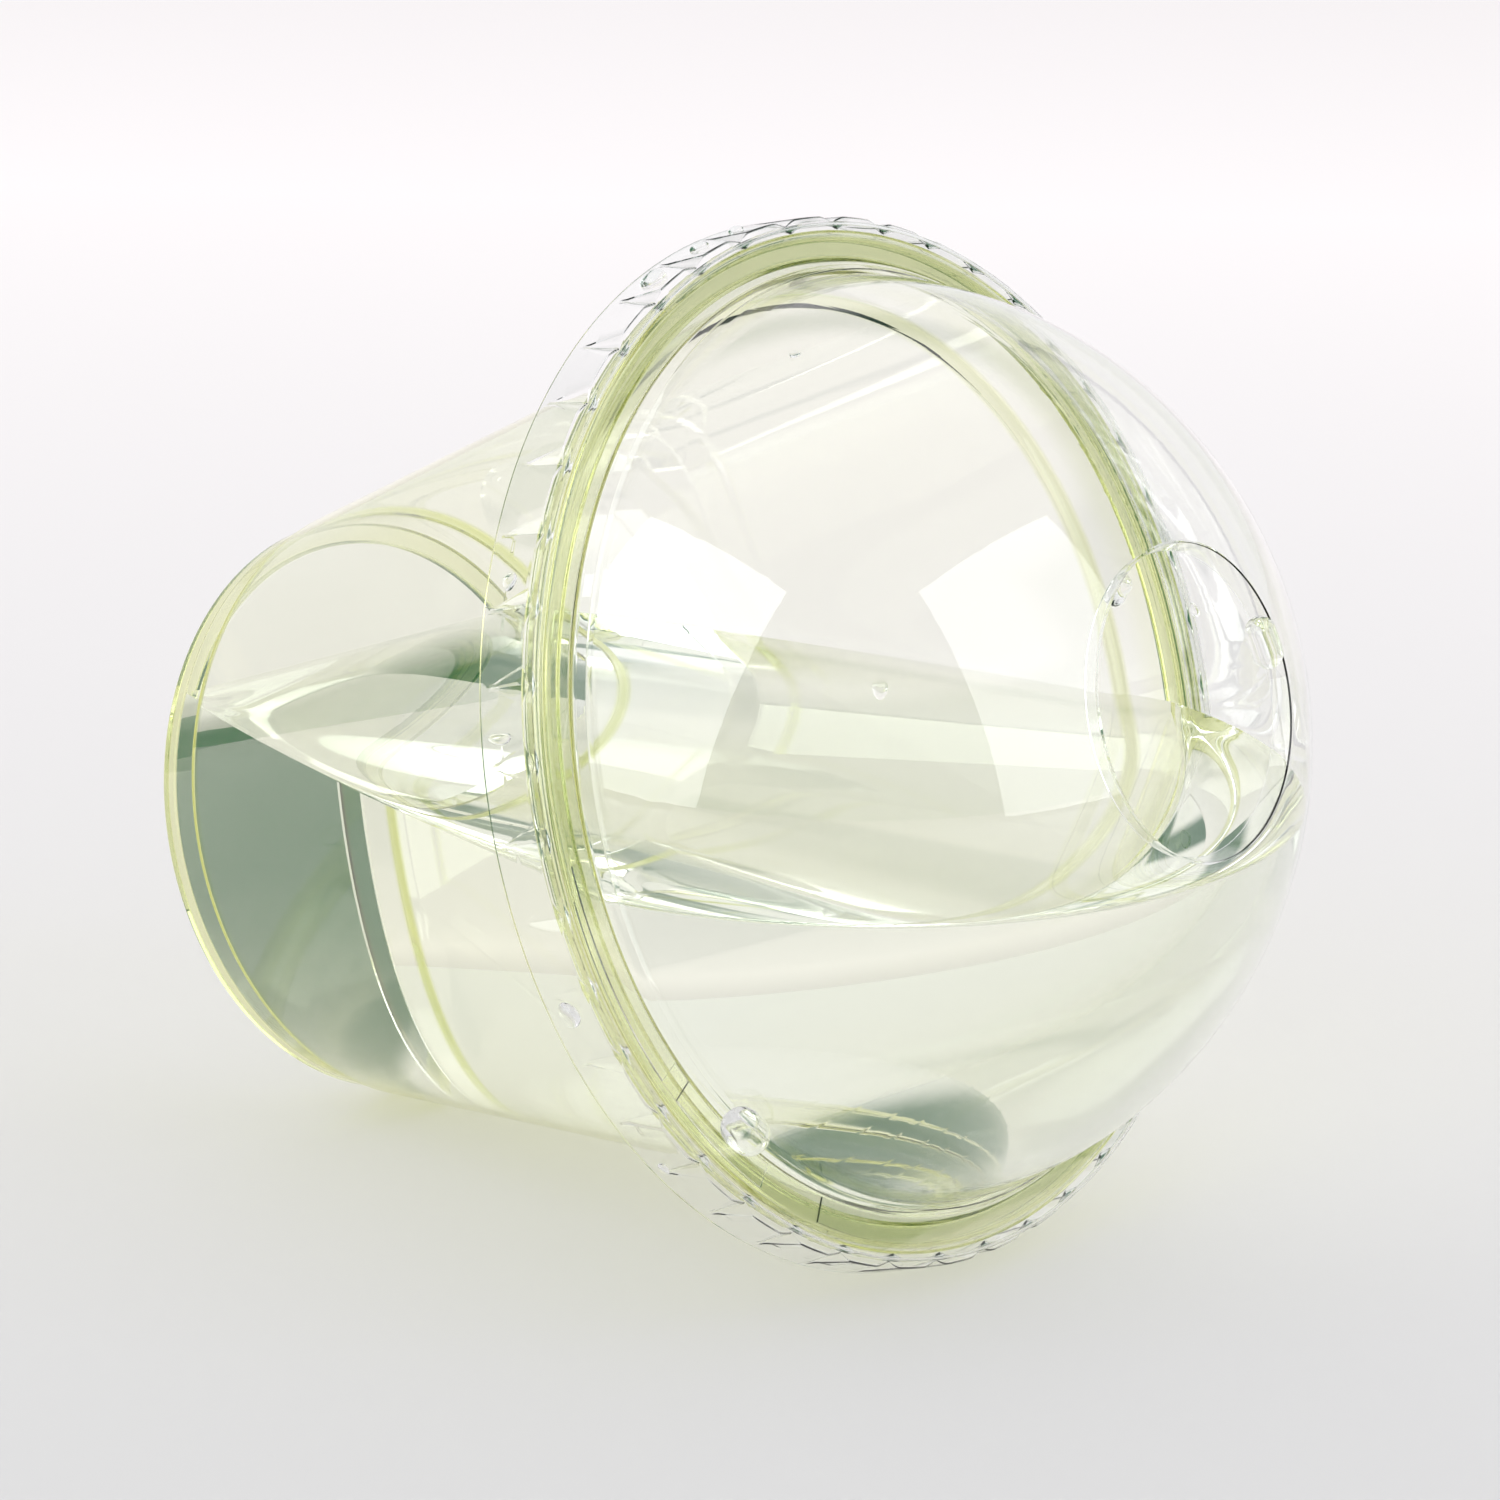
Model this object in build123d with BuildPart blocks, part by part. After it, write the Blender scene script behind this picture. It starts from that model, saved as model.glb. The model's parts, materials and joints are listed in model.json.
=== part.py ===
from build123d import *
import os
from math import acos, atan2, cos, degrees, hypot, radians, sin, sqrt

# A wasp trap lying on its side: a tapered cup, a dome lid with an entrance hole
# that presses over the cup's rim, and the bait liquid that the two of them hold.
# Millimetres, +Z up, floor at Z = 0. The turned shapes are drawn by their
# distance from the trap's own axis and by their height above the rim's plane.

# Cup: driving dimensions
rim_radius = 47.45
rim_crown = 0.9
bead_height = 2.0
cup_wall = 0.5
cup_depth = 69.4
foot_radius = 29.1
foot_rise = 1.9
foot_fold_radius = 27.5
foot_step_radius = 29.25
foot_step_height = -63.9
foot_step_width = 0.7
foot_step_length = 0.6
ledge_radius = 41.1
ledge_height = -5.0
ledge_width = 1.1
ledge_slope = 0.3
neck_radius = 43.4
neck_fillet = 0.8
rim_fillet = 0.9
curl_fillet = 0.7

# Lid: driving dimensions
lid_wall = 0.35
lid_gap = 0.3
skirt_radius = 49.1
skirt_top_radius = 48.75
skirt_drop = 4.8
shoulder_height = 0.6
corner_fillet = 0.5
dome_foot_radius = 43.0
dome_foot_height = 2.6
hole_ridge_radius = 14.1
hole_ridge_height = 34.8
hole_lip_radius = 13.5
hole_lip_height = 33.05
lug_count = 45
lug_first_angle = -0.8
lug_width = 3.2
lug_ridge_width = 0.8
lug_tip_height = -3.7

# Liquid: level above the floor, and its play to the cup and to the lid
liquid_level = 42.0
cup_play = 0.05
lid_play = 0.3

# The trap rests on the rounded corner of its foot and on the edge of its skirt,
# so the tilt is where both lie equally far below the rim's centre
foot_corner_radius = foot_radius - cup_wall
foot_corner_depth = cup_depth - cup_wall
reach = hypot(skirt_radius - foot_corner_radius, foot_corner_depth - skirt_drop)
lean = atan2(foot_corner_depth - skirt_drop, skirt_radius - foot_corner_radius)
tilt = acos(cup_wall / reach) - lean
rim_centre_height = skirt_radius * cos(tilt) + skirt_drop * sin(tilt)

# The origin is on the floor, under the middle of the trap's length
nose = hole_ridge_height * cos(tilt) + hole_ridge_radius * sin(tilt)
tail = foot_corner_depth * cos(tilt) + foot_corner_radius * sin(tilt) + cup_wall
rim_centre = Vector((tail - nose) / 2, 0, rim_centre_height)

# Directions along the trap's axis towards the dome, and straight away from it
along = Vector(cos(tilt), 0, sin(tilt))
away = Vector(-sin(tilt), 0, cos(tilt))
trap_axis = Axis(rim_centre, along)

# In the profile plane, X is the distance from the axis and Y runs along it
profile_plane = Plane(origin=rim_centre, x_dir=away, z_dir=(0, 1, 0))

# The dome is a sphere through its foot and the ridge of the entrance hole
foot_square = dome_foot_radius**2 + dome_foot_height**2
ridge_square = hole_ridge_radius**2 + hole_ridge_height**2
dome_centre = (ridge_square - foot_square) / (hole_ridge_height - dome_foot_height) / 2
dome_radius = hypot(dome_foot_radius, dome_foot_height - dome_centre)


def spoke(angle):
    """Direction away from the axis, turned about it by an angle from the top."""
    return away * cos(radians(angle)) + Vector(0, 1, 0) * sin(radians(angle))


def seat(angle):
    """Plane square to the axis at the rim, with X along the spoke at an angle."""
    return Plane(origin=rim_centre, x_dir=spoke(angle), z_dir=along)


def slice_plane(angle):
    """The profile plane turned about the axis by an angle from the top."""
    return Plane(origin=rim_centre, x_dir=spoke(angle), z_dir=spoke(angle).cross(along))


def on_sphere(radius, height):
    """Profile point at a height on a sphere about the dome's centre."""
    return (sqrt(radius**2 - (height - dome_centre) ** 2), height)


# Cup: the wet side runs from the axis to the end of the rolled rim, and the wall
# is added outside it
panel_height = foot_rise - cup_depth
foot_step = (foot_step_radius, foot_step_height)
foot_step_top = (foot_step_radius + foot_step_width, foot_step_height + foot_step_length)
ledge_top = (ledge_radius + ledge_width, ledge_height + ledge_slope)
neck_top = (neck_radius, rim_crown - neck_fillet)
crown_inner = (neck_radius + neck_fillet, rim_crown)
crown_outer = (rim_radius - rim_fillet, rim_crown)
bead_top = (rim_radius, rim_crown - rim_fillet)
bead_bottom = (rim_radius, rim_crown - bead_height)
curl_end = (rim_radius - curl_fillet, bead_bottom[1] - curl_fillet)
with BuildPart() as cup:
    with BuildSketch(profile_plane):
        with BuildLine():
            Polyline(
                (0, panel_height),
                (foot_fold_radius, panel_height),
                (foot_fold_radius, -foot_corner_depth),
                (foot_corner_radius, -foot_corner_depth),
                foot_step,
                foot_step_top,
                (ledge_radius, ledge_height),
                ledge_top,
                neck_top,
            )
            RadiusArc(neck_top, crown_inner, neck_fillet)
            Line(crown_inner, crown_outer)
            RadiusArc(crown_outer, bead_top, rim_fillet)
            Line(bead_top, bead_bottom)
            RadiusArc(bead_bottom, curl_end, curl_fillet)
            offset(amount=cup_wall, side=Side.RIGHT)
        make_face()
    revolve(axis=trap_axis)

# Dome lid: the outside runs from the free edge of the skirt, over the channel and
# the dome, to the end of the lip turned into the hole, with the wall inside it
channel_height = rim_crown + lid_gap + lid_wall
channel_radius = rim_radius + lid_gap + lid_wall
corner_side = (channel_radius, channel_height - corner_fillet)
corner_top = (channel_radius - corner_fillet, channel_height)
step_radius = dome_foot_radius + 0.5
step_height = dome_foot_height - 0.15
ridge = (hole_ridge_radius, hole_ridge_height)
dome_foot = (dome_foot_radius, dome_foot_height)
with BuildPart() as dome_shell:
    with BuildSketch(profile_plane):
        with BuildLine():
            Polyline(
                (skirt_radius, -skirt_drop),
                (skirt_top_radius, shoulder_height - 0.4),
                (channel_radius, shoulder_height),
                corner_side,
            )
            RadiusArc(corner_side, corner_top, -corner_fillet)
            Polyline(
                corner_top,
                (step_radius + 0.6, channel_height),
                (step_radius, step_height),
                dome_foot,
            )
            ThreePointArc(dome_foot, on_sphere(dome_radius, 24), ridge)
            Line(ridge, (hole_lip_radius, hole_lip_height))
            offset(amount=lid_wall, side=Side.LEFT)
        make_face()
    revolve(axis=trap_axis)


def lug_section(height, bottom, top, half_ridge, half_mouth):
    """Cross section of a lug at a height: narrow at its ridge, wide at the skirt."""
    with BuildSketch(Plane.XY.offset(height)) as section:
        with BuildLine():
            Polyline(
                (bottom, -half_ridge),
                (top, -half_mouth),
                (top, half_mouth),
                (bottom, half_ridge),
                close=True,
            )
        make_face()
    return section.sketch.face()


# A lug is a wedge pressed into the skirt: its ridge starts at the channel's radius
# under the ledge and runs out to the skirt's surface. The dent is cut from outside
# and the bulge, thicker by the wall, is added inside.
outside = skirt_radius + 0.2
half_ridge = lug_ridge_width / 2
half_mouth = lug_width / 2
dent_root = lug_section(0.7, channel_radius, outside, half_ridge, half_mouth)
dent_tip = lug_section(lug_tip_height, skirt_radius - 0.1, outside, 0.02, 0.05)
bulge_bottom = channel_radius - lid_wall
bulge_top = skirt_top_radius - 0.15
bulge_root = lug_section(0.25, bulge_bottom, bulge_top, half_ridge + 0.2, half_mouth + 0.2)
bulge_tip = lug_section(lug_tip_height - 0.4, bulge_top, bulge_top + 0.25, 0.1, 0.2)
with BuildPart() as dent:
    loft([dent_root, dent_tip])
with BuildPart() as bulge:
    loft([bulge_root, bulge_tip])

lug_angles = [lug_first_angle + 360 / lug_count * i for i in range(lug_count)]
lug_seats = [seat(angle) for angle in lug_angles]
with BuildPart() as dome_lid:
    add(dome_shell.part)
    with Locations(*lug_seats):
        add(bulge.part)
    with Locations(*lug_seats):
        add(dent.part, mode=Mode.SUBTRACT)

# Bait liquid: the inside of the cup and the dome below the liquid's level. Its
# profile follows the wet side of the cup, then a sphere under the dome.
wet_radius = dome_radius - lid_wall - lid_play
wet_foot = on_sphere(wet_radius, dome_foot_height / 2)
wet_pole = (0, dome_centre + wet_radius)
with BuildPart() as bait_liquid:
    with BuildSketch(profile_plane):
        with BuildLine():
            Polyline(
                (0, panel_height + cup_play),
                (foot_fold_radius + cup_play, panel_height + cup_play),
                (foot_fold_radius + cup_play, cup_play - foot_corner_depth),
                (foot_corner_radius - cup_play, cup_play - foot_corner_depth),
                (foot_step[0] - cup_play, foot_step[1] + cup_play),
                (foot_step_top[0] - cup_play, foot_step_top[1] + cup_play),
                (ledge_radius - cup_play, ledge_height + cup_play),
                (ledge_top[0] - cup_play, ledge_top[1] + cup_play),
                (neck_radius - cup_play, neck_top[1]),
                wet_foot,
            )
            ThreePointArc(wet_foot, on_sphere(wet_radius, hole_ridge_height / 2), wet_pole)
            Line(wet_pole, (0, panel_height + cup_play))
        make_face()
    revolve(axis=trap_axis)
    split(bisect_by=Plane.XY.offset(liquid_level), keep=Keep.BOTTOM)


# Bait held by capillarity between the rim's crown and the lid's channel, in three
# stretches with air between them. Each is a strip swept part of the way round.
film_bottom = rim_crown + cup_play
film_top = rim_crown + lid_gap - cup_play


def film(first_angle, last_angle):
    """Strip of liquid between two angles from the top, clear of both walls."""
    with BuildPart() as strip:
        with BuildSketch(slice_plane(last_angle)):
            with BuildLine():
                Polyline(
                    (crown_inner[0], film_bottom),
                    (crown_outer[0], film_bottom),
                    (crown_outer[0], film_top),
                    (crown_inner[0], film_top),
                    close=True,
                )
            make_face()
        revolve(axis=trap_axis, revolution_arc=last_angle - first_angle)
    return strip


rim_liquid_near = film(-118, -92)
rim_liquid_low = film(-137, -121)
rim_liquid_far = film(-260, -147)


def drop_shape(angle, spread, radius, height, size):
    """A drop before it is cut: a round bar bent round the axis, with round ends."""
    ends = [angle - spread / 2, angle + spread / 2]
    centres = [rim_centre + spoke(end) * radius + along * height for end in ends]
    with BuildPart() as drop:
        with BuildSketch(slice_plane(ends[1])):
            with Locations((radius, height)):
                Circle(size)
        revolve(axis=trap_axis, revolution_arc=spread)
        with Locations(*centres):
            Sphere(size)
    return drop.part


# Two drops hang inside the entrance hole, on the face of its turned-in lip. The lip
# is a cone, so each drop is cut to the cone that carries on from it.
lip_slope = (hole_ridge_radius - hole_lip_radius) / (hole_ridge_height - hole_lip_height)
cone_half_height = 4


def lip_cone():
    """Cone along the lip's face, reaching past it both ways."""
    with BuildPart() as cone:
        with Locations(seat(0).offset(hole_lip_height)):
            Cone(
                hole_lip_radius - lip_slope * cone_half_height,
                hole_lip_radius + lip_slope * cone_half_height,
                2 * cone_half_height,
            )
    return cone.part


with BuildPart() as hole_drop_upper:
    add(drop_shape(angle=-31.5, spread=6, radius=13.4, height=33.9, size=1.0))
    add(lip_cone(), mode=Mode.INTERSECT)
with BuildPart() as hole_drop_side:
    add(drop_shape(angle=77, spread=9.5, radius=13.3, height=33.8, size=1.4))
    add(lip_cone(), mode=Mode.INTERSECT)

# A third drop lies outside, in the corner between the dome's foot and the channel
with BuildPart() as rim_drop:
    add(drop_shape(angle=-130, spread=1.4, radius=44.2, height=2.8, size=1.9))
    with BuildSketch(profile_plane):
        with BuildLine():
            Polyline(
                (0, 0),
                (channel_radius, 0),
                (channel_radius, channel_height),
                (step_radius + 0.6, channel_height),
                (step_radius, step_height),
                dome_foot,
                (0, dome_foot_height),
                close=True,
            )
        make_face()
    revolve(axis=trap_axis, mode=Mode.SUBTRACT)
    with Locations(seat(0).offset(dome_centre)):
        Sphere(dome_radius, mode=Mode.SUBTRACT)

pieces = {
    "cup": cup,
    "dome_lid": dome_lid,
    "bait_liquid": bait_liquid,
    "rim_liquid_near": rim_liquid_near,
    "rim_liquid_low": rim_liquid_low,
    "rim_liquid_far": rim_liquid_far,
    "hole_drop_upper": hole_drop_upper,
    "hole_drop_side": hole_drop_side,
    "rim_drop": rim_drop,
}
os.makedirs("parts", exist_ok=True)
for name, piece in pieces.items():
    piece.part.label = name
    export_step(piece.part, f"parts/{name}.step")
    print(name, len(piece.solids()), round(piece.part.volume, 2), piece.part.is_valid)

box = Compound([piece.part for piece in pieces.values()]).bounding_box()
print("tilt", round(degrees(tilt), 2), "size", box.size, "from", box.min, "to", box.max)
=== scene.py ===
import json
from math import acos, cos, exp, hypot, radians, sin, tan

import bmesh
import bpy
from mathutils import Matrix, Vector
from mathutils.geometry import delaunay_2d_cdt
from mathutils.kdtree import KDTree


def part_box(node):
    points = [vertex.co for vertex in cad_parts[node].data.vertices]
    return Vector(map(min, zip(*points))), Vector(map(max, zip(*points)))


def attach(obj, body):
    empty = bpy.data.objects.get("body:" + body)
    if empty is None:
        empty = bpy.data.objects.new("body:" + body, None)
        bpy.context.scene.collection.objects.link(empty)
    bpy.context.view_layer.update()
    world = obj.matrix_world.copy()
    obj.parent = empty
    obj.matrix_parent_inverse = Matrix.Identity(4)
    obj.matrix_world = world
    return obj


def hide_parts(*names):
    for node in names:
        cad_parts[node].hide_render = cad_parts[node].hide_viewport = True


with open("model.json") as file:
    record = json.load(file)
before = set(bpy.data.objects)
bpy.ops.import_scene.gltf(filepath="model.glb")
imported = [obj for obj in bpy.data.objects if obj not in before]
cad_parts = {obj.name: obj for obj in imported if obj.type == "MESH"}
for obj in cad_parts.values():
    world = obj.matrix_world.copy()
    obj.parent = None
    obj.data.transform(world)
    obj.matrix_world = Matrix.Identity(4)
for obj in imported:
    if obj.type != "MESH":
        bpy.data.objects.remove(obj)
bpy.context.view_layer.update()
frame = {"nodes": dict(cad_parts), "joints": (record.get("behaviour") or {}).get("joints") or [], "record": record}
record = frame["record"]
MM = 0.001

# ---------------------------------------------------------------- the trap's own frame
# Every turned shape is drawn by its distance from the trap's axis and its height above
# the rim's plane, in millimetres. The axis runs along the lid's joint, and the foot
# ring's mount fixes where the rim is.
CUP_DEPTH = 69.4
FOOT_RING_RADIUS = 27.8
foot_mount = record["mounts"][0]
along = Vector(frame["joints"][0]["axis"]).normalized()
beside = Vector((0, 1, 0))
away = Vector((-along.z, 0, along.x))
rim_centre = Vector(foot_mount["pos_m"]) - away * FOOT_RING_RADIUS * MM + along * CUP_DEPTH * MM


def trap_point(radius, angle, height):
    """Place in metres of a point in the trap's frame. The angle is in degrees, from the top towards +Y."""
    spoke = away * cos(radians(angle)) + beside * sin(radians(angle))
    return rim_centre + (spoke * radius + along * height) * MM


# ---------------------------------------------------------------- cup and lid, in millimetres
CUP_WALL = 0.5
PANEL_RISE = 1.9
PANEL_HEIGHT = PANEL_RISE - CUP_DEPTH
FOOT_FOLD_RADIUS = 27.5
FOOT_CORNER_RADIUS = 28.6
PANEL_EDGE_RADIUS = FOOT_CORNER_RADIUS + 0.15
FOOT_ROUNDING = 0.5
FOOT_JOIN_RISE = 0.6
FOOT_STEP = (29.25, -63.9)
FOOT_STEP_TOP = (29.95, -63.3)
LEDGE_RADIUS = 41.1
LEDGE_HEIGHT = -5.0
LEDGE_WIDTH = 1.1
LEDGE_SLOPE = 0.3
NECK_RADIUS = 43.4
RIM_RADIUS = 47.45
RIM_CROWN = 0.9
CURL_RADIUS = 44.5
CURL_HEIGHT = -1.8
CURL_PLAY = 0.06

# LID_WALL keeps the channel where it is in the CAD, and LID_SHEET is how thick the sheet is drawn
LID_WALL = 0.35
LID_SHEET = 0.24
LID_GAP = 0.3
SKIRT_RADIUS = 49.1
SKIRT_TOP_RADIUS = 48.75
SKIRT_DROP = 4.8
SHOULDER_HEIGHT = 0.6
SKIRT_TOP_HEIGHT = SHOULDER_HEIGHT - 0.4
CHANNEL_RADIUS = RIM_RADIUS + LID_GAP + LID_WALL
CHANNEL_HEIGHT = RIM_CROWN + LID_GAP + LID_WALL
DOME_BEND_RADIUS = 44.1
DOME_FOOT_RADIUS = 43.0
DOME_FOOT_HEIGHT = 2.6
HOLE_RIDGE_RADIUS = 14.1
HOLE_RIDGE_HEIGHT = 34.8
HOLE_LIP_RADIUS = 13.5
HOLE_LIP_HEIGHT = 33.05
LUG_COUNT = 45
LUG_FIRST_ANGLE = -0.8
LUG_WIDTH = 3.8
LUG_TIP_HEIGHT = -3.7

foot_square = DOME_FOOT_RADIUS**2 + DOME_FOOT_HEIGHT**2
ridge_square = HOLE_RIDGE_RADIUS**2 + HOLE_RIDGE_HEIGHT**2
dome_centre = (ridge_square - foot_square) / (HOLE_RIDGE_HEIGHT - DOME_FOOT_HEIGHT) / 2
dome_radius = hypot(DOME_FOOT_RADIUS, DOME_FOOT_HEIGHT - dome_centre)


# ---------------------------------------------------------------- profiles
def rounded(corners, step=12):
    """Outline through corners given as (x, y) or (x, y, fillet radius), with an arc at each fillet."""
    outline = []
    for i, corner in enumerate(corners):
        here = Vector(corner[:2])
        radius = corner[2] if len(corner) > 2 else 0
        if radius == 0 or i in (0, len(corners) - 1):
            outline.append(here)
            continue
        back = (Vector(corners[i - 1][:2]) - here).normalized()
        ahead = (Vector(corners[i + 1][:2]) - here).normalized()
        half = back.angle(ahead) / 2
        centre = here + (back + ahead).normalized() * radius / sin(half)
        start = here + back * radius / tan(half) - centre
        sweep = start.angle_signed(here + ahead * radius / tan(half) - centre)
        count = max(2, round(abs(sweep) / radians(step)))
        for k in range(count + 1):
            turn = -sweep * k / count
            outline.append(centre + Matrix.Rotation(turn, 2) @ start)
    return outline


def divided(outline, longest=3.0):
    """The same outline with more points on its long straight runs."""
    dense = [outline[0]]
    for here in outline[1:]:
        last = dense[-1]
        count = max(1, round((here - last).length / longest))
        dense += [last.lerp(here, (k + 1) / count) for k in range(count)]
    return dense


def beside_line(line, distance):
    """The same outline moved sideways, to its right for a positive distance, with mitred corners."""
    moved = []
    for i, here in enumerate(line):
        steps = []
        if i > 0:
            steps.append((here - line[i - 1]).normalized())
        if i < len(line) - 1:
            steps.append((line[i + 1] - here).normalized())
        normals = [Vector((s.y, -s.x)) for s in steps]
        mean = sum(normals, Vector((0, 0))).normalized()
        moved.append(here + mean * distance / max(0.3, mean.dot(normals[0])))
    return moved


def sphere_arc(radius, start_height, end_height, count):
    """Outline along a sphere about the dome's centre, from one height to another."""
    first = acos((start_height - dome_centre) / radius)
    last = acos((end_height - dome_centre) / radius)
    turns = [first + (last - first) * k / count for k in range(count + 1)]
    return [Vector((radius * sin(t), dome_centre + radius * cos(t))) for t in turns]


# ---------------------------------------------------------------- mesh helpers
def weigh_normals(piece):
    """Large faces set the normals, so that a wall stays straight up to its fillets."""
    weigh = piece.modifiers.new("weighted_normals", "WEIGHTED_NORMAL")
    weigh.mode = "FACE_AREA"
    weigh.keep_sharp = True


def mesh_object(name, verts, faces, sharp=35, slot=None, body=None, stands_for=None):
    """A smooth-shaded object from points in metres, with its faces turned outwards."""
    mesh = bpy.data.meshes.new(name)
    mesh.from_pydata(verts, [], faces)
    work = bmesh.new()
    work.from_mesh(mesh)
    bmesh.ops.remove_doubles(work, verts=work.verts, dist=2e-7)
    bmesh.ops.dissolve_degenerate(work, edges=work.edges, dist=1e-8)
    bmesh.ops.recalc_face_normals(work, faces=work.faces)
    work.to_mesh(mesh)
    work.free()
    mesh.shade_smooth()
    mesh.set_sharp_from_angle(angle=radians(sharp))
    piece = bpy.data.objects.new(name, mesh)
    weigh_normals(piece)
    bpy.context.scene.collection.objects.link(piece)
    if body:
        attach(piece, body)
    if stands_for:
        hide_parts(stands_for)
    return piece


def turned(outline, angles, shape=None):
    """Points and faces of a closed outline turned about the trap's axis.

    shape gives a point's (radius, angle) from its outline's radius, its column and its height.
    """
    count = len(outline)
    verts = []
    for angle in angles:
        for radius, height in outline:
            spot = shape(radius, angle, height) if shape else (radius, angle)
            verts.append(trap_point(*spot, height))
    faces = []
    for i in range(len(angles)):
        j = (i + 1) % len(angles)
        for k in range(count):
            m = (k + 1) % count
            faces.append((i * count + k, i * count + m, j * count + m, j * count + k))
    return verts, faces


def even_angles(count):
    return [360 * i / count for i in range(count)]


# ---------------------------------------------------------------- nodes and materials
def vector_node(tree, operation, source, vector):
    """A vector node that works on a source and a fixed vector."""
    node = tree.nodes.new("ShaderNodeVectorMath")
    node.operation = operation
    node.inputs[1].default_value = vector
    tree.links.new(source, node.inputs[0])
    return node


def mapped(tree, source, low, high, start=0.0, end=1.0, smooth=False):
    """A value that goes from start to end as the source goes from low to high, and stays there beyond."""
    node = tree.nodes.new("ShaderNodeMapRange")
    if smooth:
        node.interpolation_type = "SMOOTHSTEP"
    node.inputs["From Min"].default_value = low
    node.inputs["From Max"].default_value = high
    node.inputs["To Min"].default_value = start
    node.inputs["To Max"].default_value = end
    tree.links.new(source, node.inputs["Value"])
    return node.outputs[0]


def new_material(name):
    """A material without nodes, and its node tree."""
    material = bpy.data.materials.new(name)
    material.use_nodes = True
    material.node_tree.nodes.clear()
    return material, material.node_tree


# Painted light and shade at the cup's folds: how much of the tint a fold takes, as pairs of a
# height above the foot's plane, in millimetres, and a share. The tint is a painted glow where light
# runs along the plastic and comes out at the foot, the step, the ledge and the rim. A share above 1
# makes a fold darker than the tint itself, as painted shade.
CUP_SPAN = CUP_DEPTH + RIM_CROWN
FOOT_PAINTED_LIGHT = [(0, 0.5), (1.2, 0.5), (1.35, 0)]
STEP_PAINTED_LIGHT_AND_SHADE = [(5.0, 0), (5.5, 1.2), (6.1, 1.2), (6.4, 0)]
LEDGE_PAINTED_LIGHT = [(63.8, 0), (64.1, 0.6), (64.8, 0.6), (65.1, 0)]
RIM_PAINTED_LIGHT = [(66, 0), (68, 0.2), (CUP_SPAN, 0.2)]


def painted_fold_light(tree, point, tint):
    """A colour that is white on the plain walls and takes the tint at the folds, as painted light and shade."""
    from_rim = vector_node(tree, "SUBTRACT", point, rim_centre)
    height = vector_node(tree, "DOT_PRODUCT", from_rim.outputs[0], along / MM)
    share = tree.nodes.new("ShaderNodeValToRGB")
    scaled = mapped(tree, height.outputs["Value"], -CUP_DEPTH, RIM_CROWN)
    tree.links.new(scaled, share.inputs["Fac"])
    stops = FOOT_PAINTED_LIGHT + STEP_PAINTED_LIGHT_AND_SHADE + LEDGE_PAINTED_LIGHT + RIM_PAINTED_LIGHT
    colours = share.color_ramp.elements
    for i, (rise, amount) in enumerate(stops):
        if i == 0:
            stop = colours[0]
        elif i == len(stops) - 1:
            stop = colours[-1]
        else:
            stop = colours.new(rise / CUP_SPAN)
        stop.color = [1 - amount * (1 - c) for c in tint] + [1]
    return share.outputs["Color"]


HAZE_SCALE = 60
HAZE_CLEAR = 0.45
HAZE_FULL = 0.75


def clear_material(name, ior, haze, lamp_colour, absorb, bump=None, tint=None):
    """A see-through dielectric. Rays from lamps pass it unbent, so that the floor isn't left black.

    haze is the greatest roughness, absorb is (colour, density per metre), bump is
    (scale per metre, height in metres), and tint, when given, is painted into the base
    colour at the folds as painted light and shade.
    """
    material, tree = new_material(name)
    nodes, links = tree.nodes, tree.links
    output = nodes.new("ShaderNodeOutputMaterial")
    glass = nodes.new("ShaderNodeBsdfPrincipled")
    glass.inputs["Base Color"].default_value = (1, 1, 1, 1)
    glass.inputs["IOR"].default_value = ior
    glass.inputs["Transmission Weight"].default_value = 1
    lamp = nodes.new("ShaderNodeBsdfTransparent")
    lamp.inputs["Color"].default_value = (*lamp_colour, 1)
    path = nodes.new("ShaderNodeLightPath")
    mix = nodes.new("ShaderNodeMixShader")
    links.new(path.outputs["Is Shadow Ray"], mix.inputs[0])
    links.new(glass.outputs[0], mix.inputs[1])
    links.new(lamp.outputs[0], mix.inputs[2])
    links.new(mix.outputs[0], output.inputs["Surface"])
    place = nodes.new("ShaderNodeTexCoord")
    cloud = nodes.new("ShaderNodeTexNoise")
    cloud.inputs["Scale"].default_value = HAZE_SCALE
    cloud.inputs["Detail"].default_value = 3
    links.new(place.outputs["Object"], cloud.inputs["Vector"])
    roughness = mapped(tree, cloud.outputs["Fac"], HAZE_CLEAR, HAZE_FULL, end=haze)
    links.new(roughness, glass.inputs["Roughness"])
    if bump:
        wave = nodes.new("ShaderNodeTexNoise")
        wave.inputs["Scale"].default_value = bump[0]
        wave.inputs["Detail"].default_value = 1
        links.new(place.outputs["Object"], wave.inputs["Vector"])
        relief = nodes.new("ShaderNodeBump")
        relief.inputs["Strength"].default_value = 1
        relief.inputs["Distance"].default_value = bump[1]
        links.new(wave.outputs["Fac"], relief.inputs["Height"])
        links.new(relief.outputs[0], glass.inputs["Normal"])
    # painted light and shade: the tint goes into the base colour at the folds
    if tint:
        links.new(painted_fold_light(tree, place.outputs["Object"], tint), glass.inputs["Base Color"])
    volume = nodes.new("ShaderNodeVolumeAbsorption")
    volume.inputs["Color"].default_value = (*absorb[0], 1)
    volume.inputs["Density"].default_value = absorb[1]
    links.new(volume.outputs[0], output.inputs["Volume"])
    return material


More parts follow.
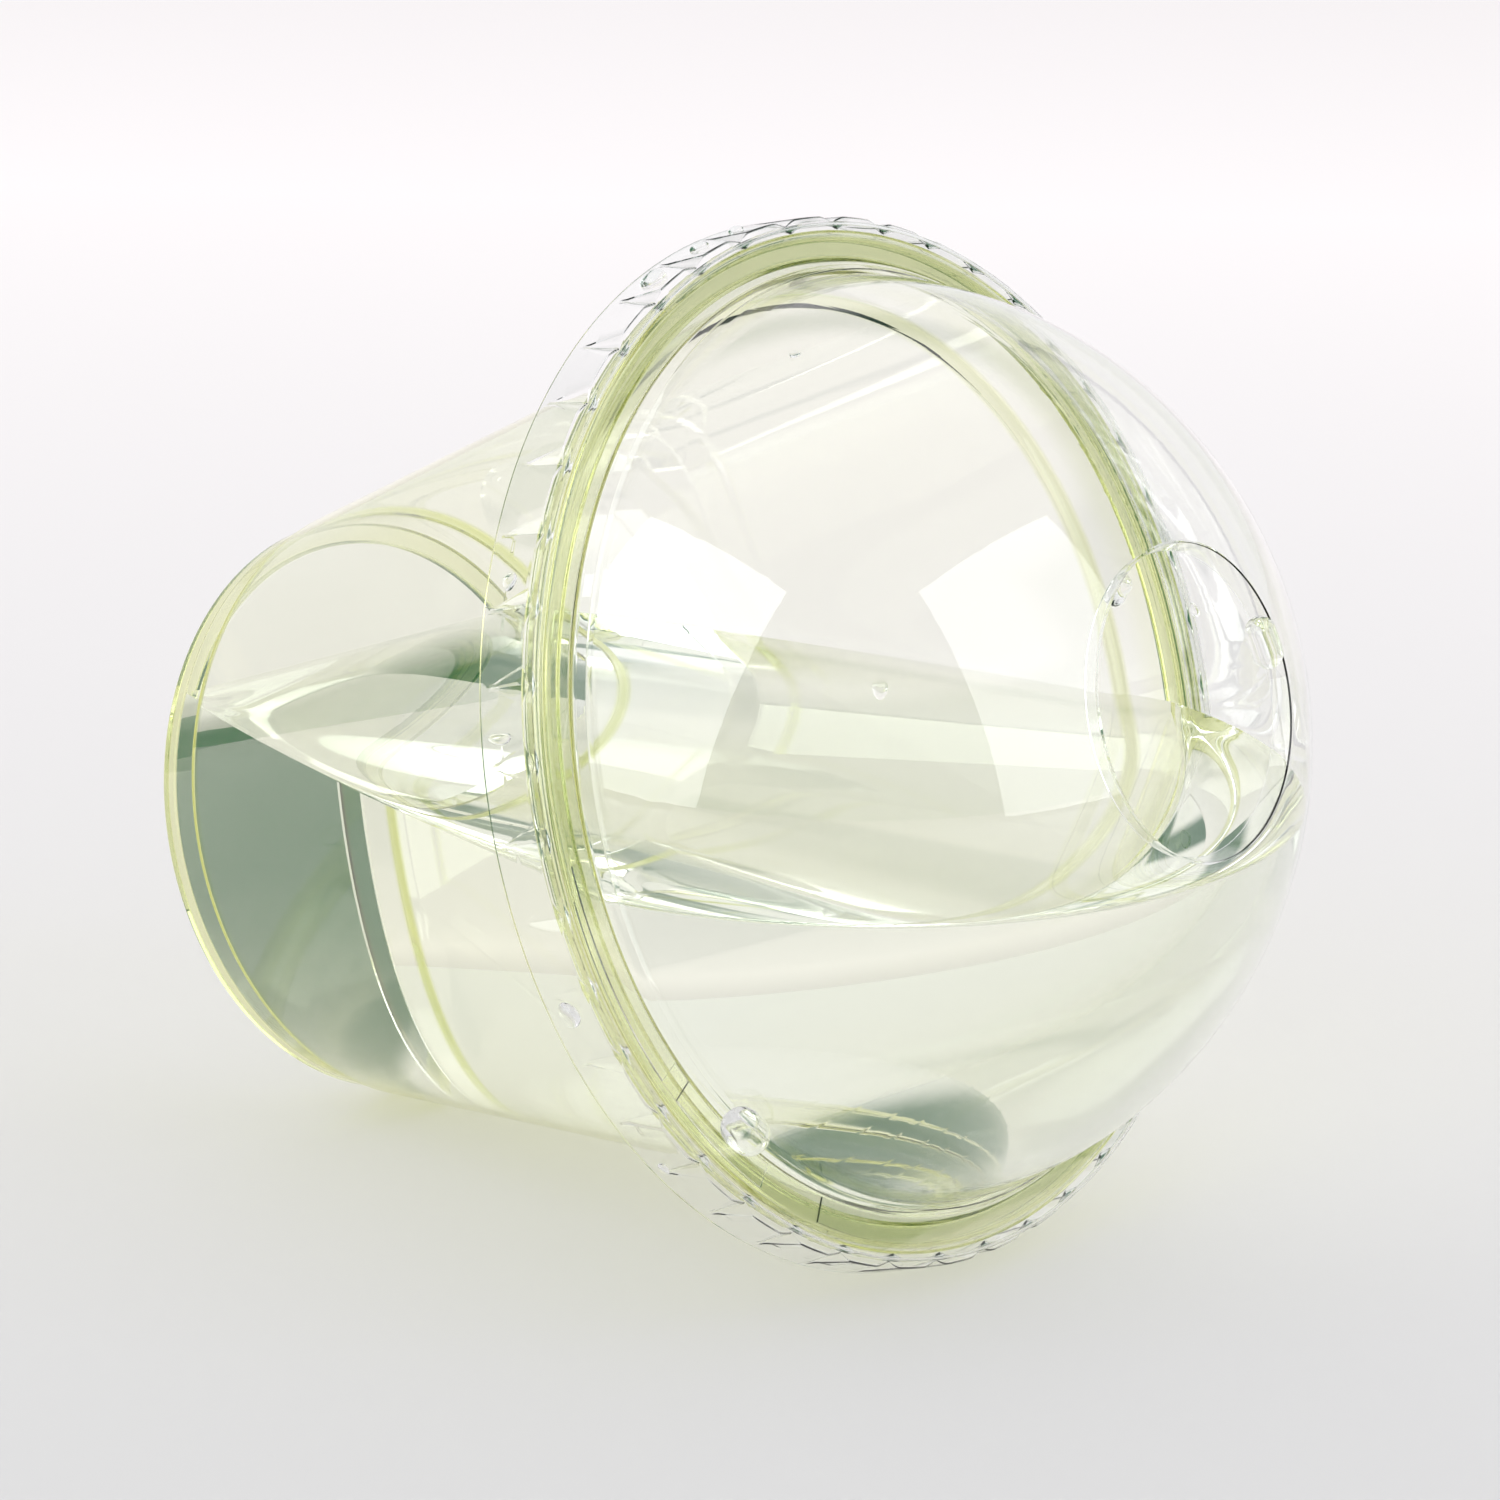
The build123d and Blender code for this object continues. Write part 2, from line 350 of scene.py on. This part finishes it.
# the cup's folds take painted light and shade in its tint
cup_plastic = clear_material(
    "cup_plastic",
    ior=1.5,
    haze=0.03,
    lamp_colour=(1, 1, 0.995),
    absorb=((0.83, 0.845, 0.01), 150),
    bump=(180, 1e-6),
    tint=(0.80, 0.84, 0.42),
)
lid_plastic = clear_material(
    "lid_plastic",
    ior=1.5,
    haze=0.02,
    lamp_colour=(1, 1, 1),
    absorb=((0.6, 0.7, 0.6), 40),
    bump=(120, 1e-6),
)
liquid = clear_material(
    "liquid",
    ior=1.36,
    haze=0.0,
    lamp_colour=(1, 1, 0.995),
    absorb=((0.6, 0.8, 0.1), 1.0),
)

# ---------------------------------------------------------------- cup
# the inside of the cup, from the panel's middle over the rim and round its curl
curl_inset = CUP_WALL + CURL_PLAY
wet_side = divided(rounded(
    [
        (0, PANEL_HEIGHT),
        (PANEL_EDGE_RADIUS, PANEL_HEIGHT, 0.3),
        (*FOOT_STEP, 0.3),
        (*FOOT_STEP_TOP, 0.2),
        (LEDGE_RADIUS, LEDGE_HEIGHT, 0.5),
        (LEDGE_RADIUS + LEDGE_WIDTH, LEDGE_HEIGHT + LEDGE_SLOPE, 0.45),
        (NECK_RADIUS, RIM_CROWN, 0.8),
        (RIM_RADIUS, RIM_CROWN, 0.9),
        (RIM_RADIUS, CURL_HEIGHT, 0.8),
        (CURL_RADIUS, CURL_HEIGHT, 0.7),
        (CURL_RADIUS, RIM_CROWN - curl_inset, 0.7),
        (RIM_RADIUS - curl_inset, RIM_CROWN - curl_inset, 0.6),
        (RIM_RADIUS - curl_inset, CURL_HEIGHT + curl_inset),
    ]
))
dry_side = beside_line(wet_side, CUP_WALL)
foot_end = next(i for i, p in enumerate(dry_side) if p.y > PANEL_HEIGHT + FOOT_JOIN_RISE)
foot_side = divided(rounded(
    [
        (0, PANEL_HEIGHT - CUP_WALL),
        (FOOT_FOLD_RADIUS - CUP_WALL, PANEL_HEIGHT - CUP_WALL, 0.3),
        (FOOT_FOLD_RADIUS - CUP_WALL, -CUP_DEPTH, 0.25),
        (FOOT_CORNER_RADIUS + FOOT_ROUNDING, -CUP_DEPTH, FOOT_ROUNDING),
        dry_side[foot_end],
    ]
))
cup_outline = wet_side + dry_side[:foot_end:-1] + foot_side[::-1]
cup_shell = mesh_object(
    "cup_shell", *turned(cup_outline, even_angles(360)), slot="cup_plastic", body="cup", stands_for="cup"
)
cup_shell.data.materials.append(cup_plastic)

# ---------------------------------------------------------------- dome lid
lid_side = rounded(
    [
        (SKIRT_RADIUS, -SKIRT_DROP),
        (SKIRT_TOP_RADIUS, SKIRT_TOP_HEIGHT, 0.4),
        (CHANNEL_RADIUS, SHOULDER_HEIGHT, 0.3),
        (CHANNEL_RADIUS, CHANNEL_HEIGHT, 0.5),
        (DOME_BEND_RADIUS, CHANNEL_HEIGHT, 0.4),
        (DOME_FOOT_RADIUS + 0.5, DOME_FOOT_HEIGHT - 0.15, 0.3),
        (DOME_FOOT_RADIUS, DOME_FOOT_HEIGHT),
    ]
)
lid_side += sphere_arc(dome_radius, DOME_FOOT_HEIGHT, HOLE_RIDGE_HEIGHT, 64)[1:]
lid_side += rounded(
    [
        (HOLE_RIDGE_RADIUS + 0.01, HOLE_RIDGE_HEIGHT),
        (HOLE_LIP_RADIUS + 0.3, HOLE_LIP_HEIGHT + 0.9),
        (HOLE_LIP_RADIUS, HOLE_LIP_HEIGHT),
    ]
)[1:]
# more rings down the skirt, where the lugs are
SKIRT_RINGS = 14
skirt_foot, skirt_head = lid_side[0], lid_side[1]
skirt_side = [skirt_foot.lerp(skirt_head, k / SKIRT_RINGS) for k in range(SKIRT_RINGS)]
lid_side = skirt_side + lid_side[1:]
lid_outline = lid_side + beside_line(lid_side, -LID_SHEET)[::-1]

# A column of the lid is (its lug's middle angle, its place across the lug from -1 to 1, its
# share of the gap to the next lug).
LUG_HALF_COLUMNS = 7
LUG_ROUND = 0.08
LUG_TIP_WIDTH = 0.12
LUG_TAPER = 0.8
DENT_POWER = 1.3
GAP_COLUMNS = 3
TOLERANCE = 0.05
lug_pitch = 360 / LUG_COUNT
lid_columns = []
for number in range(LUG_COUNT):
    middle = LUG_FIRST_ANGLE + lug_pitch * number
    for k in range(-LUG_HALF_COLUMNS, LUG_HALF_COLUMNS + 1):
        lid_columns.append((middle, k / LUG_HALF_COLUMNS, 0))
    for k in range(GAP_COLUMNS):
        lid_columns.append((middle, 1, (k + 1) / (GAP_COLUMNS + 1)))


def lug_fill(height):
    """How deep a lug is at a height, from 0 at its tip to 1 at the shoulder."""
    return min(1, max(0, (height - LUG_TIP_HEIGHT) / (SHOULDER_HEIGHT - LUG_TIP_HEIGHT)))


def skirt_radius(height):
    """Radius of the skirt's outside, which leans in towards its top."""
    rise = (height + SKIRT_DROP) / (SKIRT_TOP_HEIGHT + SKIRT_DROP)
    return SKIRT_RADIUS - (SKIRT_RADIUS - SKIRT_TOP_RADIUS) * rise


def with_lugs(radius, column, height):
    """Moves a point of the lid to its column, and presses the lugs into the skirt."""
    middle, place, gap = column
    fill = lug_fill(height)
    half_angle = LUG_WIDTH / 2 / SKIRT_RADIUS / radians(1)
    if height < SHOULDER_HEIGHT:
        half_angle *= max(LUG_TIP_WIDTH, fill) ** LUG_TAPER
    angle = middle + place * half_angle + gap * (lug_pitch - 2 * half_angle)
    below_shoulder = height < SHOULDER_HEIGHT - TOLERANCE
    on_skirt = below_shoulder and radius > CHANNEL_RADIUS - LID_WALL - TOLERANCE
    if on_skirt and gap == 0:
        dent = (1 - min(1, hypot(place, LUG_ROUND))) ** DENT_POWER
        depth = skirt_radius(height) - CHANNEL_RADIUS
        radius -= max(0, depth) * fill * dent
    return radius, angle


dome_shell = mesh_object(
    "dome_shell", *turned(lid_outline, lid_columns, with_lugs), sharp=25, slot="lid_plastic", body="lid",
    stands_for="dome_lid",
)
dome_shell.data.materials.append(lid_plastic)

# ---------------------------------------------------------------- bait liquid
LIQUID_GAP = 0.03
NECK_CONTACT_HEIGHT = RIM_CROWN - 0.5
DOME_CONTACT_HEIGHT = 1.6
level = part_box("bait_liquid")[1][2]
MENISCUS_RISE = 1.5
CAPILLARY_LENGTH = 2.7
SURFACE_PITCH = 0.7
SURFACE_MARGIN = 0.35
CONTACT_STEPS = 4

pool_side = divided(rounded(
    [
        (0, PANEL_HEIGHT + LIQUID_GAP),
        (PANEL_EDGE_RADIUS - LIQUID_GAP, PANEL_HEIGHT + LIQUID_GAP, 0.3),
        (FOOT_STEP[0] - LIQUID_GAP, FOOT_STEP[1] + LIQUID_GAP, 0.3),
        (FOOT_STEP_TOP[0] - LIQUID_GAP, FOOT_STEP_TOP[1] + LIQUID_GAP, 0.2),
        (LEDGE_RADIUS - LIQUID_GAP, LEDGE_HEIGHT + LIQUID_GAP, 0.25),
        (LEDGE_RADIUS + LEDGE_WIDTH - LIQUID_GAP, LEDGE_HEIGHT + LEDGE_SLOPE + LIQUID_GAP, 0.25),
        (NECK_RADIUS - LIQUID_GAP, NECK_CONTACT_HEIGHT),
    ]
))
wet_radius = dome_radius - LID_SHEET - LIQUID_GAP
pool_side += sphere_arc(wet_radius, DOME_CONTACT_HEIGHT, dome_centre + wet_radius, 64)


def cut_pool(work, contact):
    """Fills work with the turned inside of cup and dome, cut off above the contact line."""
    verts, faces = turned(pool_side, even_angles(360))
    points = [work.verts.new(v) for v in verts]
    for face in faces:
        if face[1] % len(pool_side) != 0:
            work.faces.new([points[i] for i in face])
    bmesh.ops.remove_doubles(work, verts=work.verts, dist=2e-7)
    bmesh.ops.bisect_plane(
        work,
        geom=work.verts[:] + work.edges[:] + work.faces[:],
        dist=1e-7,
        plane_co=(0, 0, contact),
        plane_no=(0, 0, 1),
        clear_outer=True,
    )


def contact_ring(work, contact):
    """The points of the contact line, in order round it."""
    neighbours = {}
    for edge in work.edges:
        if edge.is_boundary and all(abs(v.co.z - contact) < 1e-6 for v in edge.verts):
            for vert in edge.verts:
                neighbours.setdefault(vert, []).append(edge.other_vert(vert))
    start = max(neighbours, key=lambda v: v.co.x)
    ring = [start, neighbours[start][0]]
    while ring[-1] is not start:
        onward = [v for v in neighbours[ring[-1]] if v is not ring[-2]]
        ring.append(onward[0])
    return ring[:-1]


def fill_surface(work, ring, contact):
    """Closes the pool with a free surface that is level in the middle and climbs the walls to the ring."""
    tree = KDTree(len(ring) * CONTACT_STEPS)
    for i, vert in enumerate(ring):
        after = ring[(i + 1) % len(ring)]
        for k in range(CONTACT_STEPS):
            tree.insert(vert.co.lerp(after.co, k / CONTACT_STEPS), i * CONTACT_STEPS + k)
    tree.balance()
    corners = [v.co.xy for v in ring]
    low = [min(c[i] for c in corners) for i in (0, 1)]
    high = [max(c[i] for c in corners) for i in (0, 1)]
    pitch = SURFACE_PITCH * MM
    inner = []
    for i in range(int((high[0] - low[0]) / pitch)):
        for j in range(int((high[1] - low[1]) / pitch)):
            spot = Vector((low[0] + (i + (j % 2) / 2) * pitch, low[1] + j * pitch))
            if tree.find((spot.x, spot.y, contact))[2] > SURFACE_MARGIN * MM:
                inner.append(spot)
    edges = [(i, (i + 1) % len(ring)) for i in range(len(ring))]
    flat, _, tris, from_verts, _, _ = delaunay_2d_cdt(
        [c.copy() for c in corners] + inner, edges, [list(range(len(ring)))], 1, 1e-9
    )
    tops = []
    for spot, origins in zip(flat, from_verts):
        kept = [s for s in origins if s < len(ring)]
        if kept:
            tops.append(ring[kept[0]])
            continue
        distance = tree.find((spot.x, spot.y, contact))[2] / MM
        rise = MENISCUS_RISE * exp(-distance / CAPILLARY_LENGTH)
        tops.append(work.verts.new((spot.x, spot.y, level + rise * MM)))
    for tri in tris:
        if len({tops[i] for i in tri}) == 3:
            work.faces.new([tops[i] for i in tri])


def pool_mesh():
    """The liquid as one closed mesh."""
    work = bmesh.new()
    contact = level + MENISCUS_RISE * MM
    cut_pool(work, contact)
    fill_surface(work, contact_ring(work, contact), contact)
    bmesh.ops.recalc_face_normals(work, faces=work.faces)
    loose = [v for v in work.verts if not v.link_faces]
    bmesh.ops.delete(work, geom=loose, context="VERTS")
    mesh = bpy.data.meshes.new("liquid_pool")
    work.to_mesh(mesh)
    work.free()
    mesh.shade_smooth()
    mesh.set_sharp_from_angle(angle=radians(40))
    return mesh


liquid_pool = bpy.data.objects.new("liquid_pool", pool_mesh())
weigh_normals(liquid_pool)
bpy.context.scene.collection.objects.link(liquid_pool)
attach(liquid_pool, "cup")
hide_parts("bait_liquid")
liquid_pool.data.materials.append(liquid)

# the small volumes of liquid are the CAD's own
SMALL_VOLUMES = (
    "rim_liquid_near",
    "rim_liquid_low",
    "rim_liquid_far",
    "hole_drop_upper",
    "hole_drop_side",
    "rim_drop",
)
for node in SMALL_VOLUMES:
    for slot in frame["nodes"][node].material_slots:
        slot.material = liquid

# ---------------------------------------------------------------- droplets on the lid
DROPLET_GAP = 0.03
DROPLET_RINGS = 9
DROPLET_COLUMNS = 28


def droplet(name, place, normal, length, width, thickness, wobble):
    """A droplet on the lid, with an uneven outline, a flat underside just off the plastic and a round top."""
    length_way = along.cross(normal).cross(normal).normalized()
    width_way = normal.cross(length_way)
    verts = []
    for side in (1, 0):
        for ring in range(DROPLET_RINGS + 1):
            rise = radians(90 * ring / DROPLET_RINGS)
            share = sin(rise)
            lift = DROPLET_GAP + side * thickness * cos(rise)
            for column in range(DROPLET_COLUMNS):
                turn = radians(360 * column / DROPLET_COLUMNS)
                swell = share * (1 + wobble * sin(2 * turn + length) + wobble * cos(3 * turn + width))
                reach = length_way * cos(turn) * length / 2 + width_way * sin(turn) * width / 2
                verts.append(place + (reach * swell + normal * lift) * MM)
    faces = []
    rings = DROPLET_RINGS + 1
    for side in range(2):
        for ring in range(DROPLET_RINGS):
            base = (side * rings + ring) * DROPLET_COLUMNS
            for column in range(DROPLET_COLUMNS):
                after = (column + 1) % DROPLET_COLUMNS
                low = (base + column, base + after)
                faces.append((*low, base + DROPLET_COLUMNS + after, base + DROPLET_COLUMNS + column))
    piece = mesh_object(name, verts, faces, sharp=50, slot="liquid", body="lid")
    piece.data.materials.append(liquid)


# each droplet's angle and height on the lid, its length along the lid's side, width and thickness
SKIRT_DROPLETS = [
    (-20.5, -2.3, 2.4, 3.0, 0.8),
    (-12.2, -2.2, 1.5, 2.2, 0.5),
    (-5.5, -2.4, 1.2, 1.7, 0.45),
    (-62, -2.2, 1.6, 1.8, 0.35),
    (-78, -2.6, 2.6, 1.1, 0.4),
    (-107, -2.4, 2.0, 2.6, 0.8),
    (-128, -3.2, 1.0, 1.4, 0.35),
]
DOME_DROPLETS = [
    (-74.9, 24.55, 1.3, 1.8, 0.3),
    (84.8, 5.7, 1.2, 1.5, 0.35),
    (-23.6, 11.2, 0.9, 1.1, 0.25),
    (101, 4.2, 1.3, 1.0, 0.3),
]
for number, (angle, height, *size) in enumerate(SKIRT_DROPLETS, 1):
    place = trap_point(skirt_radius(height), angle, height)
    normal = (trap_point(1, angle, 0) - trap_point(0, angle, 0)).normalized()
    droplet(f"skirt_droplet_{number}", place, normal, *size, wobble=0.06)
for number, (angle, height, *size) in enumerate(DOME_DROPLETS, 1):
    radius = (dome_radius**2 - (height - dome_centre) ** 2) ** 0.5
    place = trap_point(radius, angle, height)
    normal = (place - trap_point(0, 0, dome_centre)).normalized()
    droplet(f"dome_droplet_{number}", place, normal, *size, wobble=0.08)

# ---------------------------------------------------------------- stage
FLOOR_RADIUS = 4
# painted shade on the floor: grey in front of the trap, fading to white away from the camera
FLOOR_AWAY = (-0.638, 0.770, 0)
FLOOR_FADE = (-0.1, 0.55)
FLOOR_PAINTED_SHADE = (0.555, 0.55, 0.555, 1)
FLOOR_FAR = (0.965, 0.925, 0.936, 1)


def shaded_paper_material():
    """Matte paper with painted shade: grey in front of the trap, fading to white away from the camera."""
    material, tree = new_material("paper")
    nodes, links = tree.nodes, tree.links
    output = nodes.new("ShaderNodeOutputMaterial")
    matte = nodes.new("ShaderNodeBsdfPrincipled")
    place = nodes.new("ShaderNodeTexCoord")
    depth = vector_node(tree, "DOT_PRODUCT", place.outputs["Object"], FLOOR_AWAY)
    painted_shade_mix = nodes.new("ShaderNodeMix")
    painted_shade_mix.data_type = "RGBA"
    near, far = [s for s in painted_shade_mix.inputs if s.type == "RGBA"]
    near.default_value = FLOOR_PAINTED_SHADE
    far.default_value = FLOOR_FAR
    links.new(mapped(tree, depth.outputs["Value"], *FLOOR_FADE), painted_shade_mix.inputs["Factor"])
    links.new([s for s in painted_shade_mix.outputs if s.type == "RGBA"][0], matte.inputs["Base Color"])
    matte.inputs["Roughness"].default_value = 0.9
    links.new(matte.outputs[0], output.inputs["Surface"])
    return material


floor_mesh = bpy.data.meshes.new("floor")
turns = [radians(a) for a in range(0, 360, 5)]
corners = [(FLOOR_RADIUS * cos(t), FLOOR_RADIUS * sin(t), 0) for t in turns]
floor_mesh.from_pydata(corners, [], [list(range(len(corners)))])
floor = bpy.data.objects.new("floor", floor_mesh)
bpy.context.scene.collection.objects.link(floor)
floor_mesh.materials.append(shaded_paper_material())

# ---------------------------------------------------------------- camera
eye = Vector((0.270446, -0.328243, 0.169842))
ahead = Vector((-0.61062, 0.73683, -0.29021))
right = Vector((0.76497, 0.64360, 0.02455))
up = right.cross(ahead)
camera_data = bpy.data.cameras.new("camera")
camera_data.sensor_width = 36
camera_data.lens = 111.74
camera_data.shift_x = 0.0165
camera_data.shift_y = 0.0163
camera_data.clip_start = 0.01
camera = bpy.data.objects.new("camera", camera_data)
axes = Matrix((right, up, -ahead)).transposed().to_4x4()
camera.matrix_world = Matrix.Translation(eye) @ axes
bpy.context.scene.collection.objects.link(camera)
bpy.context.scene.camera = camera


# ---------------------------------------------------------------- light
SOFTBOX_DISTANCE = 1.0
SOFTBOX_COLOUR = (0.97, 0.985, 1.0)


def softbox(name, direction, width, height, power):
    """An area light that faces the dome, from a direction given as (right, down, ahead) of the camera."""
    dome = trap_point(0, 0, dome_centre)
    heading = (right * direction[0] - up * direction[1] + ahead * direction[2]).normalized()
    data = bpy.data.lights.new(name, "AREA")
    data.shape = "RECTANGLE"
    data.size = width
    data.size_y = height
    data.energy = power
    data.color = SOFTBOX_COLOUR
    lamp = bpy.data.objects.new(name, data)
    lamp.location = dome + heading * SOFTBOX_DISTANCE
    lamp.rotation_euler = (-heading).to_track_quat("-Z", "Y").to_euler()
    lamp.visible_camera = False
    bpy.context.scene.collection.objects.link(lamp)


softbox("softbox_left", (-0.70, -0.30, -0.645), 0.80, 1.06, 6.4)
softbox("softbox_right", (0.752, -0.275, -0.598), 0.80, 1.08, 5.2)

# The world is pale for the camera and for the paper. What the clear parts mirror and bend is
# a studio that is dark at the sides, and white in a sweep behind the trap, on the ceiling,
# which comes lower behind the camera, and in a reflector to the camera's left.
world = bpy.data.worlds.new("studio")
bpy.context.scene.world = world
world.use_nodes = True
world_tree = world.node_tree
world_tree.nodes.clear()


def background(colour, strength=1.0):
    """An even light from the world."""
    node = world_tree.nodes.new("ShaderNodeBackground")
    node.inputs["Color"].default_value = (*colour, 1)
    node.inputs["Strength"].default_value = strength
    return node.outputs[0]


def combined(operation, first, second):
    """The product, or the greater, of two shares."""
    node = world_tree.nodes.new("ShaderNodeMath")
    node.operation = operation
    world_tree.links.new(first, node.inputs[0])
    world_tree.links.new(second, node.inputs[1])
    return node.outputs[0]


def chosen(share, first, second):
    """The first light where the share is 0, and the second where it is 1."""
    node = world_tree.nodes.new("ShaderNodeMixShader")
    for source, socket in zip((share, first, second), node.inputs):
        world_tree.links.new(source, socket)
    return node.outputs[0]


def level_share(compass, way, low, high):
    """0 to 1 as a direction's compass heading turns towards a level way."""
    along_way = vector_node(world_tree, "DOT_PRODUCT", compass, way.normalized())
    return mapped(world_tree, along_way.outputs["Value"], low, high, smooth=True)


def studio_share():
    """How white the studio is in a direction, by its rise from -1 to 1 and the cosines of its heading."""
    direction = world_tree.nodes.new("ShaderNodeTexCoord").outputs["Generated"]
    parts = world_tree.nodes.new("ShaderNodeSeparateXYZ")
    world_tree.links.new(direction, parts.inputs[0])
    rise = parts.outputs["Z"]
    flat = vector_node(world_tree, "MULTIPLY", direction, (1, 1, 0))
    heading = world_tree.nodes.new("ShaderNodeVectorMath")
    heading.operation = "NORMALIZE"
    world_tree.links.new(flat.outputs[0], heading.inputs[0])
    compass = heading.outputs[0]
    forward = Vector((ahead.x, ahead.y, 0))
    rightward = Vector((ahead.y, -ahead.x, 0))
    behind_trap = level_share(compass, forward, cos(radians(63)), cos(radians(58)))
    low_down = mapped(world_tree, rise, 0.65, 0.5, smooth=True)
    ceiling = mapped(world_tree, rise, 0.66, 0.78, smooth=True)
    behind_camera = level_share(compass, forward, -0.3, -0.6)
    low_ceiling = mapped(world_tree, rise, 0.42, 0.5, smooth=True)
    reflector = level_share(compass, rightward, -0.955, -0.985)
    share = combined("MULTIPLY", behind_trap, low_down)
    for other in (ceiling, reflector, combined("MULTIPLY", behind_camera, low_ceiling)):
        share = combined("MAXIMUM", share, other)
    return share


pale = background((0.95, 0.95, 0.95), 0.93)
sweep = background((0.92, 0.92, 0.93))
dark = background((0.005, 0.11, 0.042))
path = world_tree.nodes.new("ShaderNodeLightPath")
bent = combined("MAXIMUM", path.outputs["Is Glossy Ray"], path.outputs["Is Transmission Ray"])
seen = chosen(bent, pale, chosen(studio_share(), dark, sweep))
world_output = world_tree.nodes.new("ShaderNodeOutputWorld")
world_tree.links.new(seen, world_output.inputs["Surface"])

# ---------------------------------------------------------------- view and bounces
scene = bpy.context.scene
scene.view_settings.view_transform = "Standard"
scene.cycles.max_bounces = 32
scene.cycles.transmission_bounces = 32
scene.cycles.glossy_bounces = 16
scene.cycles.transparent_max_bounces = 32
